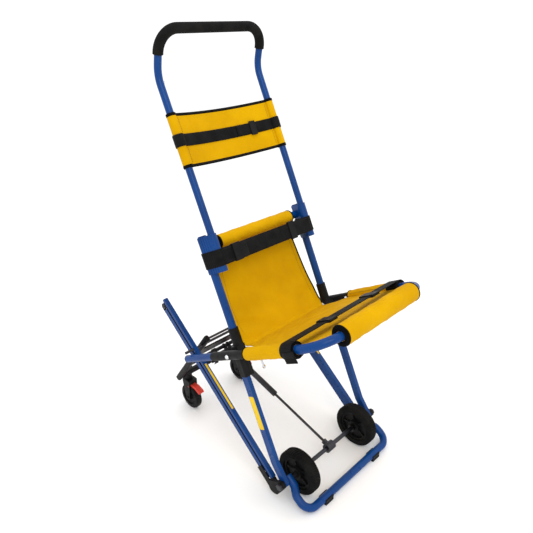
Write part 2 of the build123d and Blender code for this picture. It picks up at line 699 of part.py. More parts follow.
def pulley(side, t):
    """Belt pulley on its pin; side is -1 for the left track."""
    with BuildPart() as wheel:
        x_low = min(side * BELT_X[0], side * BELT_X[1])
        with BuildSketch(cross(x_low, on_track(0, t, PULLEY_N))):
            ring(PULLEY_R - 0.2, 1.6)
        extrude(amount=BELT_X[1] - BELT_X[0])
        pin_low = min(side * (TRACK_X[0] + 0.2), side * (TRACK_X[1] + 0.6))
        with BuildSketch(cross(pin_low, on_track(0, t, PULLEY_N))):
            Circle(PIN_R)
        extrude(amount=TRACK_W + 0.4)
    return wheel


for side_name, side in (("left", -1), ("right", 1)):
    for end_name, t in zip(("front", "rear"), PULLEY_T):
        save(pulley(side, t), f"pulley_{end_name}_{side_name}")

HOUSING_C = (5.4, -36.0)   # centre of the housing's large disc, in track coordinates
HOUSING_R = 23.0
STRIP_T = (12.0, 80.0)     # cover plate over the lower belt pulley
with BuildPart() as track_housings:
    with BuildSketch(track_side(HOUSING_X[0])):
        Circle(13)
        with Locations(HOUSING_C):
            Circle(HOUSING_R)
        make_hull()
    extrude(amount=HOUSING_X[1] - HOUSING_X[0])
    with BuildSketch(track_side(TRACK_X[1] + 0.8)):
        with Locations(((STRIP_T[0] + STRIP_T[1]) / 2, PULLEY_N)):
            Rectangle(STRIP_T[1] - STRIP_T[0], 2 * BELT_R + 1)
    extrude(amount=2.6)
    with BuildSketch(track_side(TRACK_X[0] + 2)):
        with Locations((TRACK_T[0] - 9, (TRACK_N[1] + GROOVE_N[1]) / 2 - 10)):
            Rectangle(17.5, 26)
    extrude(amount=HOUSING_X[0] - TRACK_X[0] - 2)
    drill(AXLE, AXLE_R + RUN, TRACK_X[0], HOUSING_X[1] + 5)
    pair()
save(track_housings, "track_housings")

ROD_END = 257.0
with BuildPart() as pivot_rod:
    with BuildSketch(cross(-ROD_END, ROD)):
        Circle(ROD_R)
    extrude(amount=2 * ROD_END)
    fillet(pivot_rod.edges().filter_by(GeomType.CIRCLE), 1.5)
save(pivot_rod, "pivot_rod")

# ---------------------------------------------------------------- castor frame
ARM_X = 180.0
ARM_R = 11.0
ARM_TOP = behind_axle(0, 383, 415)
ARM_FOOT = behind_axle(0, 570, 171)
ARM_DIR = (ARM_FOOT - ARM_TOP).normalized()
ARM_LEN = (ARM_FOOT - ARM_TOP).length


def on_arm(x, distance, out=0.0):
    """Point along the castor arm from its top, out behind its centre line."""
    behind = ARM_DIR.cross(ACROSS)
    point = ARM_TOP + ARM_DIR * distance + behind * out
    return Vector(x, point.Y, point.Z)


with BuildPart() as castor_arms:
    with BuildSketch(Plane(on_arm(ARM_X, -4), x_dir=ACROSS, z_dir=ARM_DIR)):
        RectangleRounded(18, 2 * ARM_R, 7)
    extrude(amount=ARM_LEN + 4 + ARM_R)
    drill(ROD, ROD_R + RUN, ARM_X - 20, ARM_X + 20)
    fillet(castor_arms.faces().filter_by(Plane((0, 0, 0), z_dir=ARM_DIR)).edges(), 4)
    pair()
save(castor_arms, "castor_arms")

ARM_IN = ARM_X - 9 - 0.1
with BuildPart() as castor_cross_rod:
    with BuildSketch(cross(-ARM_IN, on_arm(0, 6))):
        Circle(4)
    extrude(amount=2 * ARM_IN)
save(castor_cross_rod, "castor_cross_rod")

PLATE_AT = (95.0, 148.0)
with BuildPart() as castor_plate:
    with BuildSketch(Plane(on_arm(0, sum(PLATE_AT) / 2), x_dir=ACROSS, z_dir=ARM_DIR.cross(ACROSS))):
        RectangleRounded(2 * ARM_IN, PLATE_AT[1] - PLATE_AT[0], 2)
    extrude(amount=2.5, both=True)
save(castor_plate, "castor_plate")

STEM_R = 13.0
BAR_AT = ARM_LEN - 2.0
FORK_TOP = 128.0
with BuildPart() as castor_lower_bar:
    bar = on_arm(0, BAR_AT)
    with BuildSketch(cross(-ARM_IN, bar)):
        RectangleRounded(18, 20, 5)
    extrude(amount=2 * ARM_IN)
    for x in (-CASTOR_X, CASTOR_X):
        with BuildSketch(Plane.XY.offset(FORK_TOP + 0.6)):
            with Locations((x, AXLE_Y + STEM_Y)):
                Circle(STEM_R)
        extrude(amount=bar.Z + 8 - FORK_TOP)
        with BuildSketch(Plane.XY.offset(bar.Z - 9)):
            with Locations((x, (bar.Y + AXLE_Y + STEM_Y) / 2)):
                Rectangle(2 * STEM_R, abs(AXLE_Y + STEM_Y - bar.Y) + 2)
        extrude(amount=17)
        with BuildSketch(Plane.XY.offset(FORK_TOP)):
            with Locations((x, AXLE_Y + STEM_Y)):
                Circle(BOLT_R + RUN)
        extrude(amount=30, mode=Mode.SUBTRACT)
save(castor_lower_bar, "castor_lower_bar")

# The gas strut pulls on two ears that stand forward from a crossbar low in the castor frame.
STRUT_EYE = behind_axle(0, 470, 232)
EAR_GAP = 7.0
EAR_T = 4.0
EAR_ROOT = on_arm(0, 205)
with BuildPart() as strut_ears:
    with BuildSketch(cross(-ARM_IN, EAR_ROOT)):
        Circle(7)
    extrude(amount=2 * ARM_IN)
    with BuildSketch(cross(EAR_GAP, EAR_ROOT)):
        Circle(10)
        with Locations((STRUT_EYE.Y - EAR_ROOT.Y, STRUT_EYE.Z - EAR_ROOT.Z)):
            Circle(10)
        make_hull()
    extrude(amount=EAR_T)
    with BuildSketch(cross(EAR_GAP + EAR_T, STRUT_EYE)):
        Circle(6)
    extrude(amount=4)
    pair()
save(strut_ears, "strut_ears")

CLIP_X = -66.0
CLIP_DROP = 34.0
with BuildPart() as frame_clip:
    with BuildSketch(cross(CLIP_X, EAR_ROOT)):
        ring(10, 7 + FIT)
        with Locations((0, -(CLIP_DROP + 6) / 2)):
            Rectangle(5, CLIP_DROP - 8)
        with Locations((0, -CLIP_DROP - 8)):
            Circle(12.5)
        with Locations((0, -CLIP_DROP - 8)):
            Circle(9.5, mode=Mode.SUBTRACT)
        with Locations((0, -CLIP_DROP - 19)):
            Rectangle(11, 14, mode=Mode.SUBTRACT)
    extrude(amount=16)
save(frame_clip, "frame_clip")

CASTOR_W = 26.0
FORK_W = 4.0
PEDAL_PIVOT = (CASTOR_Y - 8.0, FORK_TOP - 24.0)
PEDAL_TIP = (CASTOR_Y - 64.0, FORK_TOP - 36.0)
PEDAL_W = 20.0
PEDAL_PIN_R = 2.5


def castor_fork(x):
    """Swivel fork: stem, crown and two cheeks, with the wheel's axle."""
    with BuildPart() as fork:
        with BuildSketch(Plane.XY.offset(FORK_TOP - 12)):
            with Locations((x, AXLE_Y + (STEM_Y + CASTOR_Y) / 2)):
                RectangleRounded(2 * FORK_W + CASTOR_W + 4, 46, 10)
        extrude(amount=12)
        for side in (-1, 1):
            cheek_x = x + side * (CASTOR_W / 2 + 2) + (0 if side > 0 else -FORK_W)
            with BuildSketch(upright(cheek_x)):
                with Locations((CASTOR_Y, CASTOR_R)):
                    Circle(12)
                with Locations(((STEM_Y + CASTOR_Y) / 2, FORK_TOP - 6)):
                    Rectangle(40, 10)
                make_hull()
            extrude(amount=FORK_W)
        drill(behind_axle(0, *PEDAL_PIVOT), PEDAL_PIN_R + RUN, x - 30, x + 30)
        with BuildSketch(Plane.XY.offset(FORK_TOP)):
            with Locations((x, AXLE_Y + STEM_Y)):
                Circle(BOLT_R)
        extrude(amount=26)
        axle_half = CASTOR_W / 2 + FORK_W + 5
        with BuildSketch(upright(x - axle_half)):
            with Locations((CASTOR_Y, CASTOR_R)):
                Circle(4)
        extrude(amount=2 * axle_half)
    return fork


def castor_wheel(x):
    """Castor tyre and hub in one moulding."""
    with BuildPart() as wheel:
        with BuildSketch(upright(x - CASTOR_W / 2)):
            with Locations((CASTOR_Y, CASTOR_R)):
                Circle(CASTOR_R)
                Circle(4 + RUN, mode=Mode.SUBTRACT)
        extrude(amount=CASTOR_W)
        fillet(rims(wheel, CASTOR_R), 7)
        for face_x, direction in ((x - CASTOR_W / 2, 1), (x + CASTOR_W / 2, -1)):
            with BuildSketch(upright(face_x)):
                with Locations((CASTOR_Y, CASTOR_R)):
                    Circle(34)
                    Circle(13, mode=Mode.SUBTRACT)
            extrude(amount=direction * 5, mode=Mode.SUBTRACT)
    return wheel




def castor_pedal(x):
    """Brake pedal that stands forward of the fork, over the wheel."""
    with BuildPart() as pedal:
        with BuildSketch(upright(x - PEDAL_W / 2)):
            with BuildLine():
                Polyline(
                    (PEDAL_TIP[0], PEDAL_TIP[1] + 11), (PEDAL_TIP[0] - 4, PEDAL_TIP[1] + 3),
                    (PEDAL_TIP[0] + 3, PEDAL_TIP[1] - 4), (PEDAL_PIVOT[0] - 26, PEDAL_PIVOT[1] - 3),
                    (PEDAL_PIVOT[0] + 3, PEDAL_PIVOT[1] - 1), (PEDAL_PIVOT[0] + 3, PEDAL_PIVOT[1] + 7),
                    (PEDAL_PIVOT[0] - 30, PEDAL_PIVOT[1] + 9), close=True,
                )
            make_face()
        extrude(amount=PEDAL_W)
        fillet(pedal.edges().filter_by(Axis.X), 1.5)
        pin_half = CASTOR_W / 2 + 2 + FORK_W
        with BuildSketch(cross(x - pin_half, behind_axle(0, *PEDAL_PIVOT))):
            Circle(PEDAL_PIN_R)
        extrude(amount=2 * pin_half)
    return pedal


# ---------------------------------------------------------------- main wheels
RIM_R = 54.0
HUB_R = 21.0


def main_tyre(x):
    """Grooved solid tyre with rounded shoulders."""
    with BuildPart() as tyre:
        with BuildSketch(cross(x - WHEEL_W / 2, AXLE)):
            ring(WHEEL_R, RIM_R)
        extrude(amount=WHEEL_W)
        fillet(rims(tyre, WHEEL_R), 9)
        fillet(rims(tyre, RIM_R), 1.5)
    return tyre


def main_hub(x):
    """Spoked hub with a rim, five spokes and a bearing boss."""
    with BuildPart() as hub:
        with BuildSketch(cross(x - 13, AXLE)):
            ring(RIM_R - 0.2, RIM_R - 7)
        extrude(amount=26)
        with BuildSketch(cross(x - WHEEL_W / 2 + 0.4, AXLE)):
            Circle(HUB_R)
        extrude(amount=WHEEL_W - 0.8)
        with BuildSketch(cross(x - 5, AXLE)):
            Circle(RIM_R - 3)
        extrude(amount=10)
        with BuildSketch(cross(x - 10, AXLE)):
            with PolarLocations((RIM_R + HUB_R) / 2 - 2, 5):
                Rectangle(RIM_R - HUB_R, 7)
        extrude(amount=20)
        drill(AXLE, AXLE_R + RUN, x - WHEEL_W, x + WHEEL_W)
        fillet(rims(hub, HUB_R).group_by(Axis.X)[-1], 2)
    return hub


for side_name, side in (("left", -1), ("right", 1)):
    save(castor_fork(side * CASTOR_X), f"castor_fork_{side_name}")
    save(castor_wheel(side * CASTOR_X), f"castor_wheel_{side_name}")
    save(castor_pedal(side * CASTOR_X), f"castor_pedal_{side_name}")
    save(main_tyre(side * WHEEL_X), f"main_tyre_{side_name}")
    save(main_hub(side * WHEEL_X), f"main_hub_{side_name}")

# ---------------------------------------------------------------- gas strut
STRUT_DIR = (STRUT_EYE - AXLE).normalized()
STRUT_LEN = (STRUT_EYE - AXLE).length
PISTON_R = 4.5
CYLINDER_R = 10.5
PISTON_TO = 285.0
CYLINDER_FROM = 262.0
BLOCK_X = 16.5


def on_strut(distance):
    return Plane(AXLE + STRUT_DIR * distance, x_dir=ACROSS, z_dir=STRUT_DIR)


with BuildPart() as strut_rod:
    with BuildSketch(cross(-BLOCK_X, AXLE)):
        Circle(15)
    extrude(amount=2 * BLOCK_X)
    with BuildSketch(on_strut(8)):
        Circle(PISTON_R)
    extrude(amount=PISTON_TO - 8)
    with BuildSketch(on_strut(11)):
        RectangleRounded(14, 16, 3)
    extrude(amount=16)
    drill(AXLE, AXLE_R + RUN, -BLOCK_X - 2, BLOCK_X + 2)
save(strut_rod, "strut_rod")

with BuildPart() as strut_cylinder:
    with BuildSketch(on_strut(CYLINDER_FROM)):
        ring(CYLINDER_R, PISTON_R + 0.4)
    extrude(amount=10)
    with BuildSketch(on_strut(CYLINDER_FROM + 10)):
        ring(CYLINDER_R, CYLINDER_R - 2)
    extrude(amount=STRUT_LEN - CYLINDER_FROM - 34)
    with BuildSketch(on_strut(STRUT_LEN - 25)):
        Circle(CYLINDER_R)
    extrude(amount=8)
    with BuildSketch(on_strut(STRUT_LEN - 18)):
        RectangleRounded(10, 12, 2)
    extrude(amount=16)
    with BuildSketch(cross(-5, STRUT_EYE)):
        Circle(8)
    extrude(amount=10)
save(strut_cylinder, "strut_cylinder")
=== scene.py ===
import json
from math import atan2, cos, exp, hypot, pi, radians, sin

import bpy
import numpy as np
from mathutils import Matrix, Vector


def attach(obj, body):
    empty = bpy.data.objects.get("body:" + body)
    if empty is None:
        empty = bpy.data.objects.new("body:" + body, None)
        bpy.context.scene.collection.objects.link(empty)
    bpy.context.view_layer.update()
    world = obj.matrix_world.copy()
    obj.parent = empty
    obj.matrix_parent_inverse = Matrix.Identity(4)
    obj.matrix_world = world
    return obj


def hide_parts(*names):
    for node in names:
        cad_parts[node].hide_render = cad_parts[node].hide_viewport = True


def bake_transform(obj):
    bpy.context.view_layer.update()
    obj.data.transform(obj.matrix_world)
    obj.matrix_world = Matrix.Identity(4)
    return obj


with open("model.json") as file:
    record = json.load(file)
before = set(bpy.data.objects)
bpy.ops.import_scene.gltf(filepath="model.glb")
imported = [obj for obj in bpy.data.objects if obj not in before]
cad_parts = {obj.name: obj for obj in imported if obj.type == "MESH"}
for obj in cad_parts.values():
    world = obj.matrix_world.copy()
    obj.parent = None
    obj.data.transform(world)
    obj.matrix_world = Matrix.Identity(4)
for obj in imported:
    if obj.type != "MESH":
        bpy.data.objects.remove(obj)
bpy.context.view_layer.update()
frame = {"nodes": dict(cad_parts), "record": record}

MM = 0.001
JOINTS = {j["name"]: j for j in frame["record"]["behaviour"]["joints"]}
AXLE = Vector(JOINTS["track_fold"]["pos_m"])
PIVOT = Vector(JOINTS["seat_fold"]["pos_m"])
LEAN, TILT, SLOPE = radians(23.9), radians(27.0), radians(42.0)
BACK_UP = Vector((0, sin(LEAN), cos(LEAN)))
BACK_FRONT = Vector((0, -cos(LEAN), sin(LEAN)))
SEAT_FWD = Vector((0, -cos(TILT), sin(TILT)))
SEAT_UP = Vector((0, sin(TILT), cos(TILT)))
TRACK_UP = Vector((0, cos(SLOPE), sin(SLOPE)))
TRACK_TOP = Vector((0, -sin(SLOPE), cos(SLOPE)))
ACROSS = Vector((1, 0, 0))
PIVOT_U = 429.0


def on_back(x, u, n=0.0):
    """Point u up the main tubes and n in front of them, from millimetres."""
    return PIVOT + ACROSS * (x * MM) + BACK_UP * ((u - PIVOT_U) * MM) + BACK_FRONT * (n * MM)


def on_seat(x, s, h=0.0):
    """Point s forward of the seat pivot and h above the rails, from millimetres."""
    return PIVOT + ACROSS * (x * MM) + SEAT_FWD * (s * MM) + SEAT_UP * (h * MM)


def on_track(x, t, n=0.0):
    """Point t up the track from the axle and n above it, from millimetres."""
    return AXLE + ACROSS * (x * MM) + TRACK_UP * (t * MM) + TRACK_TOP * (n * MM)


# ---------------------------------------------------------------- materials
class Shader:
    """A principled material with small helpers for its procedural detail."""

    def __init__(self, name, roughness=0.5, metallic=0.0, **constants):
        self.material = bpy.data.materials.new(name)
        self.material.use_nodes = True
        self.nodes = self.material.node_tree.nodes
        self.links = self.material.node_tree.links
        self.shader = self.nodes["Principled BSDF"]
        self.shader.inputs["Metallic"].default_value = metallic
        self.shader.inputs["Roughness"].default_value = roughness
        for socket, value in constants.items():
            self.shader.inputs[socket.replace("_", " ")].default_value = value
        self.place = self.nodes.new("ShaderNodeTexCoord").outputs["Object"]

    def join(self, output, socket):
        self.links.new(output, socket)

    def turned(self, angle=0.0, scale=(1, 1, 1)):
        """Object coordinates turned about X, so that patterns follow a slanted panel."""
        node = self.nodes.new("ShaderNodeMapping")
        node.inputs["Rotation"].default_value = (angle, 0, 0)
        node.inputs["Scale"].default_value = scale
        self.join(self.place, node.inputs["Vector"])
        return node.outputs["Vector"]

    def noise(self, scale, detail=3.0, vector=None, roughness=0.55):
        node = self.nodes.new("ShaderNodeTexNoise")
        node.inputs["Scale"].default_value = scale
        node.inputs["Detail"].default_value = detail
        node.inputs["Roughness"].default_value = roughness
        self.join(vector or self.place, node.inputs["Vector"])
        return node.outputs["Fac"]

    def wave(self, scale, direction, vector):
        node = self.nodes.new("ShaderNodeTexWave")
        node.bands_direction = direction
        node.inputs["Scale"].default_value = scale
        self.join(vector, node.inputs["Vector"])
        return node.outputs["Fac"]

    def maths(self, operation, first, second):
        node = self.nodes.new("ShaderNodeMath")
        node.operation = operation
        for socket, value in zip(node.inputs, (first, second)):
            if isinstance(value, (int, float)):
                socket.default_value = value
            else:
                self.join(value, socket)
        return node.outputs[0]

    def span(self, fac, low, high):
        """Stretches the middle of a 0 to 1 pattern over low to high."""
        node = self.nodes.new("ShaderNodeMapRange")
        node.inputs["From Min"].default_value = 0.3
        node.inputs["From Max"].default_value = 0.7
        node.inputs["To Min"].default_value = low
        node.inputs["To Max"].default_value = high
        self.join(fac, node.inputs["Value"])
        return node.outputs[0]

    def colours(self, fac, dark, light):
        ramp = self.nodes.new("ShaderNodeValToRGB")
        ramp.color_ramp.elements[0].position = 0.3
        ramp.color_ramp.elements[1].position = 0.7
        ramp.color_ramp.elements[0].color = (*dark, 1)
        ramp.color_ramp.elements[1].color = (*light, 1)
        self.join(fac, ramp.inputs["Fac"])
        self.join(ramp.outputs["Color"], self.shader.inputs["Base Color"])

    def rough(self, fac, low, high):
        self.join(self.span(fac, low, high), self.shader.inputs["Roughness"])

    def bumps(self, *layers):
        """Stacks (height, strength, distance) layers into the normal."""
        normal = None
        for height, strength, distance in layers:
            node = self.nodes.new("ShaderNodeBump")
            node.inputs["Strength"].default_value = strength
            node.inputs["Distance"].default_value = distance
            self.join(height, node.inputs["Height"])
            if normal:
                self.join(normal, node.inputs["Normal"])
            normal = node.outputs["Normal"]
        self.join(normal, self.shader.inputs["Normal"])
        return self.material


def paint(name, dark, light):
    s = Shader(name, 0.3, Coat_Weight=0.08, Coat_Roughness=0.1, Specular_IOR_Level=0.16)
    s.colours(s.noise(9, 4), dark, light)
    s.rough(s.noise(60, 5), 0.24, 0.40)
    return s.bumps((s.noise(420, 2), 0.12, 0.0004), (s.noise(35, 4), 0.05, 0.0008))


def cloth(name, dark, light, angle, thread=3600.0, sheen=0.01):
    """Plain weave whose threads run across the chair and along a panel tilted by angle."""
    s = Shader(name, 0.75, Sheen_Weight=sheen, Sheen_Roughness=0.45, Specular_IOR_Level=0.04)
    flat = s.turned(angle)
    weave = s.maths("MULTIPLY", s.wave(thread / 20, "X", flat), s.wave(thread / 20, "Z", flat))
    broad = s.noise(7, 4)
    creases = s.noise(22, 3, s.turned(angle, (1, 1, 0.35)))
    s.colours(s.maths("ADD", s.maths("MULTIPLY", broad, 0.8), s.maths("MULTIPLY", weave, 0.2)), dark, light)
    s.rough(s.noise(45, 4), 0.62, 0.86)
    return s.bumps((creases, 0.35, 0.006), (weave, 0.35, 0.0005), (s.noise(650, 2), 0.15, 0.0003))


def webbing(name, angle):
    """Ribbed nylon strap."""
    s = Shader(name, 0.7, Sheen_Weight=0.01, Specular_IOR_Level=0.08)
    flat = s.turned(angle)
    ribs = s.wave(150, "X", flat)
    cords = s.wave(110, "Z", flat)
    s.colours(s.noise(30, 4), (0.003, 0.003, 0.003), (0.009, 0.009, 0.009))
    s.rough(ribs, 0.55, 0.8)
    return s.bumps((ribs, 0.4, 0.0006), (cords, 0.4, 0.0005))


def plastic(name, dark, light, low=0.38, high=0.6, grain=380.0):
    s = Shader(name, 0.5, Specular_IOR_Level=0.12)
    s.colours(s.noise(18, 4), dark, light)
    s.rough(s.noise(40, 4), low, high)
    return s.bumps((s.noise(grain, 2), 0.22, 0.0004), (s.noise(70, 3), 0.06, 0.0008))


def metal(name, dark, light, low, high):
    s = Shader(name, 0.3, 1.0)
    s.colours(s.noise(14, 4), dark, light)
    brushed = s.noise(90, 4, s.turned(0, (0.08, 1, 1)))
    s.rough(brushed, low, high)
    return s.bumps((brushed, 0.12, 0.0003))


def foam(name):
    s = Shader(name, 0.85, Specular_IOR_Level=0.08)
    cells = s.nodes.new("ShaderNodeTexVoronoi")
    cells.inputs["Scale"].default_value = 520
    s.join(s.place, cells.inputs["Vector"])
    s.colours(s.noise(25, 5), (0.004, 0.004, 0.004), (0.012, 0.0115, 0.011))
    s.rough(s.noise(60, 4), 0.72, 0.92)
    return s.bumps((cells.outputs["Distance"], 0.5, 0.0006), (s.noise(120, 4), 0.2, 0.001))


def tread(name):
    """Tyre rubber with a moulded tread that turns with the wheel's angle."""
    s = Shader(name, 0.8, Specular_IOR_Level=0.08)
    parts = s.nodes.new("ShaderNodeSeparateXYZ")
    s.join(s.place, parts.inputs[0])
    y = s.maths("SUBTRACT", parts.outputs[1], AXLE.y)
    z = s.maths("SUBTRACT", parts.outputs[2], AXLE.z)
    angle = s.maths("ARCTAN2", y, z)
    slant = s.maths("MULTIPLY", parts.outputs[0], 160.0)
    bars = s.maths("SINE", s.maths("ADD", s.maths("MULTIPLY", angle, 54.0), slant), 0.0)
    radius = s.maths("SQRT", s.maths("ADD", s.maths("MULTIPLY", y, y), s.maths("MULTIPLY", z, z)), 0.0)
    outer = s.maths("GREATER_THAN", radius, 0.0705)
    s.colours(s.noise(24, 5), (0.003, 0.003, 0.003), (0.010, 0.010, 0.0095))
    s.rough(s.noise(50, 4), 0.68, 0.9)
    return s.bumps((s.maths("MULTIPLY", bars, outer), 0.7, 0.0012), (s.noise(300, 3), 0.2, 0.0004))


BLACK_LOW, BLACK_HIGH = (0.002, 0.002, 0.002), (0.007, 0.007, 0.007)
YELLOW_DARK, YELLOW_LIGHT = (0.55, 0.285, 0.0004), (0.71, 0.395, 0.0007)
M = {
    "blue": paint("blue_paint", (0.0006, 0.031, 0.150), (0.0012, 0.050, 0.218)),
    "back_cloth": cloth("yellow_back_cloth", YELLOW_DARK, YELLOW_LIGHT, -LEAN),
    "seat_cloth": cloth("yellow_seat_cloth", YELLOW_DARK, YELLOW_LIGHT, TILT),
    "roll_cloth": cloth("yellow_roll_cloth", YELLOW_DARK, YELLOW_LIGHT, 0.0),
    "binding": cloth("black_binding", BLACK_LOW, BLACK_HIGH, 0.0, 3600.0, 0.01),
    "back_web": webbing("black_back_web", -LEAN),
    "seat_web": webbing("black_seat_web", TILT),
    "thread": plastic("dark_thread", (0.02, 0.02, 0.02), (0.05, 0.05, 0.05), 0.6, 0.8),
    "yellow_mark": plastic("yellow_mark", (0.72, 0.47, 0.01), (0.82, 0.56, 0.02), 0.3, 0.5),
    "plastic": plastic("black_plastic", (0.003, 0.003, 0.003), (0.010, 0.010, 0.010)),
    "black_metal": plastic(
        "black_powder_coat", (0.003, 0.003, 0.0035), (0.009, 0.009, 0.010), 0.3, 0.48, 600.0,
    ),
    "foam": foam("black_foam"),
    "tyre": tread("tyre_rubber"),
    "wheel": plastic("castor_rubber", (0.004, 0.004, 0.004), (0.013, 0.013, 0.013), 0.5, 0.75),
    "belt": plastic("belt_rubber", (0.003, 0.003, 0.003), (0.009, 0.009, 0.009), 0.6, 0.85, 240.0),
    "bright": metal("bright_steel", (0.50, 0.51, 0.53), (0.78, 0.79, 0.81), 0.16, 0.34),
    "dark": metal("dark_steel", (0.035, 0.035, 0.040), (0.085, 0.085, 0.095), 0.28, 0.45),
    "cylinder": metal("cylinder_coat", (0.030, 0.030, 0.034), (0.065, 0.065, 0.072), 0.3, 0.48),
    "red": plastic("red_plastic", (0.52, 0.035, 0.022), (0.70, 0.065, 0.04), 0.28, 0.45),
}
SLOT_LOOK = {
    "blue_tube": "blue", "yellow_cloth": "roll_cloth", "black_web": "back_web", "black_plastic": "plastic",
    "black_metal": "black_metal", "foam": "foam", "tyre": "tyre", "belt": "belt", "bright_steel": "bright",
    "dark_steel": "dark", "red_plastic": "red", "grey_cylinder": "cylinder",
}
NODE_LOOK = {"castor_wheel_left": "wheel", "castor_wheel_right": "wheel", "axle_nuts": "dark"}
for part in frame["record"]["subparts"]:
    look = NODE_LOOK.get(part["node"], SLOT_LOOK[part["material_slot"]])
    mesh = frame["nodes"][part["node"]].data
    mesh.materials.clear()
    mesh.materials.append(M[look])


# ---------------------------------------------------------------- mesh helpers
def piece(name, verts, faces, look, body=None, smooth=True):
    mesh = bpy.data.meshes.new(name)
    mesh.from_pydata([tuple(v) for v in verts], [], faces)
    mesh.update()
    mesh.materials.append(M[look])
    for face in mesh.polygons:
        face.use_smooth = smooth
    obj = bpy.data.objects.new(name, mesh)
    bpy.context.scene.collection.objects.link(obj)
    if body:
        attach(obj, body)
    return obj


def strip(rings, closed_path=False, caps=True):
    """Joins rings of points, each ring closed, into one surface."""
    n, m = len(rings), len(rings[0])
    verts = [p for ring in rings for p in ring]
    faces = []
    for i in range(n if closed_path else n - 1):
        a, b = i * m, ((i + 1) % n) * m
        for j in range(m):
            k = (j + 1) % m
            faces.append((a + j, b + j, b + k, a + k))
    if caps and not closed_path:
        faces.append(tuple(range(m)))
        faces.append(tuple(reversed(range((n - 1) * m, n * m))))
    return verts, faces


def tangents(points, closed):
    n = len(points)
    if closed:
        return [(points[(i + 1) % n] - points[i - 1]).normalized() for i in range(n)]
    return [(points[min(i + 1, n - 1)] - points[max(i - 1, 0)]).normalized() for i in range(n)]


def band(name, points, side, width, thickness, look, body, closed=False):
    """Flat strap along points; its width runs along side and its edges are rounded."""
    half, t = width * MM / 2, thickness * MM / 2
    outline = [(-half, -0.5 * t), (-half + t, -t)]
    outline += [(f * (half - t), -t) for f in (-0.5, 0, 0.5)]
    outline += [(half - t, -t), (half, -0.5 * t), (half, 0.5 * t), (half - t, t)]
    outline += [(f * (half - t), t) for f in (0.5, 0, -0.5)]
    outline += [(-half + t, t), (-half, 0.5 * t)]
    rings = []
    for p, along in zip(points, tangents(points, closed)):
        out = along.cross(side).normalized()
        rings.append([p + side * a + out * b for a, b in outline])
    verts, faces = strip(rings, closed)
    return piece(name, verts, faces, look, body)


def cord_tube(name, points, radius, look, body=None, sides=10):
    """Round piping along points."""
    rings = []
    side = ACROSS
    for p, along in zip(points, tangents(points, False)):
        side = (side - along * side.dot(along)).normalized() if abs(side.dot(along)) < 0.98 else BACK_FRONT
        other = along.cross(side).normalized()
        rings.append([
            p + side * (radius * MM * cos(2 * pi * k / sides))
            + other * (radius * MM * sin(2 * pi * k / sides))
            for k in range(sides)
        ])
    verts, faces = strip(rings)
    return piece(name, verts, faces, look, body)


def stitches(name, points, out, body, pitch=5.0, length=3.2, size=0.45):
    """Row of short raised threads along a path, out being the surface's normal."""
    verts, faces = [], []
    lengths = [0.0]
    for a, b in zip(points, points[1:]):
        lengths.append(lengths[-1] + (b - a).length)
    for start in np.arange(pitch * MM / 2, lengths[-1] - length * MM, pitch * MM):
        i = max(k for k, s in enumerate(lengths[:-1]) if s <= start)
        along = (points[i + 1] - points[i]).normalized()
        p = points[i] + along * (start - lengths[i])
        side = along.cross(out).normalized()
        base = len(verts)
        for f, lift in ((0.0, -0.15), (0.2, 0.45), (0.8, 0.45), (1.0, -0.15)):
            centre = p + along * (f * length * MM) + out * (lift * MM)
            for a, b in ((-size, 0), (0, size), (size, 0), (0, -size)):
                verts.append(centre + side * (a * MM) + out * (b * MM))
        for r in range(3):
            for k in range(4):
                a, b = base + 4 * r, base + 4 * r + 4
                faces.append((a + k, b + k, b + (k + 1) % 4, a + (k + 1) % 4))
        faces.append((base + 3, base + 2, base + 1, base))
        faces.append((base + 12, base + 13, base + 14, base + 15))
    return piece(name, verts, faces, "thread", body)


def creased(theta, along, seed):
    """Uneven radius of hand-sewn cloth round a tube, from -1 to 1."""
    return (
        0.5 * sin(3 * theta + 5 * along + seed) + 0.3 * sin(5 * theta - 9 * along + 2 * seed)
        + 0.2 * sin(8 * theta + 17 * along + 3 * seed)
    )


def cloth_roll(
    name, start, axis, length, radius, inner, look, body, seed, slant=(0.0, 0.0), swell=0.8, turn=None
):
    """Sleeve of cloth round a straight tube, with bound ends; slant leans each end's cut."""
    first = turn or BACK_FRONT
    first = (first - axis * first.dot(axis)).normalized()
    second = axis.cross(first)
    steps, sides = 48, 64

    def at(f, theta, r):
        cut = slant[0] * (1 - f) * cos(theta) + slant[1] * f * cos(theta)
        spoke = first * cos(theta) + second * sin(theta)
        return start + axis * ((f * length + cut) * MM) + spoke * (r * MM)

    def outer(f, theta):
        edge = min(f, 1 - f) * length
        tuck = 1.6 * exp(-edge / 5.0)
        return radius - 0.9 - tuck + swell * creased(theta, f * length / 60, seed) * min(1, edge / 15)

    rings = []
    for f in np.linspace(0, 1, steps):
        rings.append([at(f, 2 * pi * k / sides, outer(f, 2 * pi * k / sides)) for k in range(sides)])
    for f in (1.0, 0.0):
        rings.append([at(f, 2 * pi * k / sides, inner) for k in range(sides)])
    verts, faces = strip(rings, True)
    cover = piece(name, verts, faces, look, body)
    for tag, f, way in (("start", 0.0, 1), ("end", 1.0, -1)):
        profile = [(0.0, inner + 0.2), (-0.9, inner + 0.4), (-0.9, radius - 2.6), (-0.2, radius - 1.3),
                   (1.2, radius - 0.7), (3.4, radius - 0.3), (3.7, radius - 1.8), (1.2, radius - 2.2)]
        rings = []
        for k in range(sides):
            theta = 2 * pi * k / sides
            rings.append([
                at(f, theta, r + 0.35 * creased(theta, f, seed)) + axis * (way * a * MM) for a, r in profile
            ])
        verts, faces = strip(rings, True)
        piece(f"{name}_binding_{tag}", verts, faces, "binding", body)
    return cover


